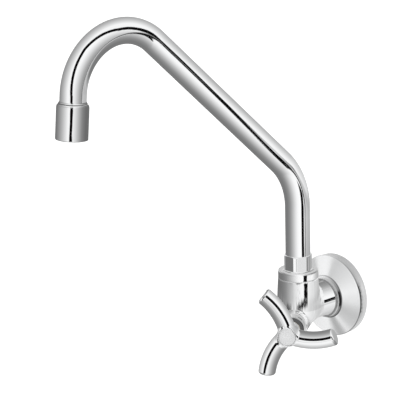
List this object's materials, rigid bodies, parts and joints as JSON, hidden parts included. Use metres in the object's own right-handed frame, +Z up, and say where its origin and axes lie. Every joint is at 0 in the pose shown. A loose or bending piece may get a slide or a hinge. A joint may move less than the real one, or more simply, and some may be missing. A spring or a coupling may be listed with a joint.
{
  "type": "wall-mounted sink tap",
  "caption": "Wall-mounted sink tap: chrome swan-neck spout that swivels on the body, a curved-arm quarter-turn handle in front and a round flange that covers the wall inlet.",
  "frame": {"origin": "centre of the wall flange's back face, on the axis of the inlet thread", "axes": "+Z up; +Y into the wall along the inlet thread; the room and the spout are on the -Y side; +X to the user's right"},
  "size_m": [0.0919, 0.2923, 0.3059],
  "materials": {
    "polished_chrome": "mirror-polished chrome plate on brass",
    "flange_chrome": "chrome plate over fine turning lines",
    "satin_chrome": "satin chrome cap",
    "brass": "machined brass",
    "black_rubber": "matt moulded rubber",
    "white_acetal": "moulded acetal",
    "ceramic": "lapped ceramic",
    "stainless": "plain stainless steel"
  },
  "bodies": {
    "fixture": {"valve_body": "polished_chrome", "body_collar": "polished_chrome", "spout_nut": "polished_chrome", "upper_glide_ring": "white_acetal", "lower_glide_ring": "white_acetal", "wall_flange": "flange_chrome", "flange_o_ring": "black_rubber", "headwork_housing": "brass", "headwork_gasket": "black_rubber", "headwork_shroud": "polished_chrome", "seat_seal": "black_rubber", "fixed_disc": "ceramic"},
    "spout": {"spout_tube": "polished_chrome", "spout_tailpiece": "brass", "tailpiece_o_rings": "black_rubber", "outlet_shell": "polished_chrome", "aerator_washer": "black_rubber", "aerator_casing": "polished_chrome", "aerator_core": "white_acetal", "aerator_screen": "stainless", "flow_straightener": "white_acetal"},
    "handle_set": {"handle": "polished_chrome", "spindle": "brass", "spindle_o_rings": "black_rubber", "spindle_circlip": "stainless", "turning_disc": "ceramic", "handle_screw": "stainless", "index_button": "satin_chrome"}
  },
  "joints": [
    {"name": "spout_swivel", "type": "hinge", "parent": "fixture", "child": "spout", "pos_m": [0, -0.046, 0.044], "axis": [0, 0, 1], "range_deg": [-85, 95]},
    {"name": "handle_turn", "type": "hinge", "parent": "fixture", "child": "handle_set", "pos_m": [0, -0.046, -0.011], "axis": [0.5299, -0.848, 0], "range_deg": [0, 90]}
  ]
}
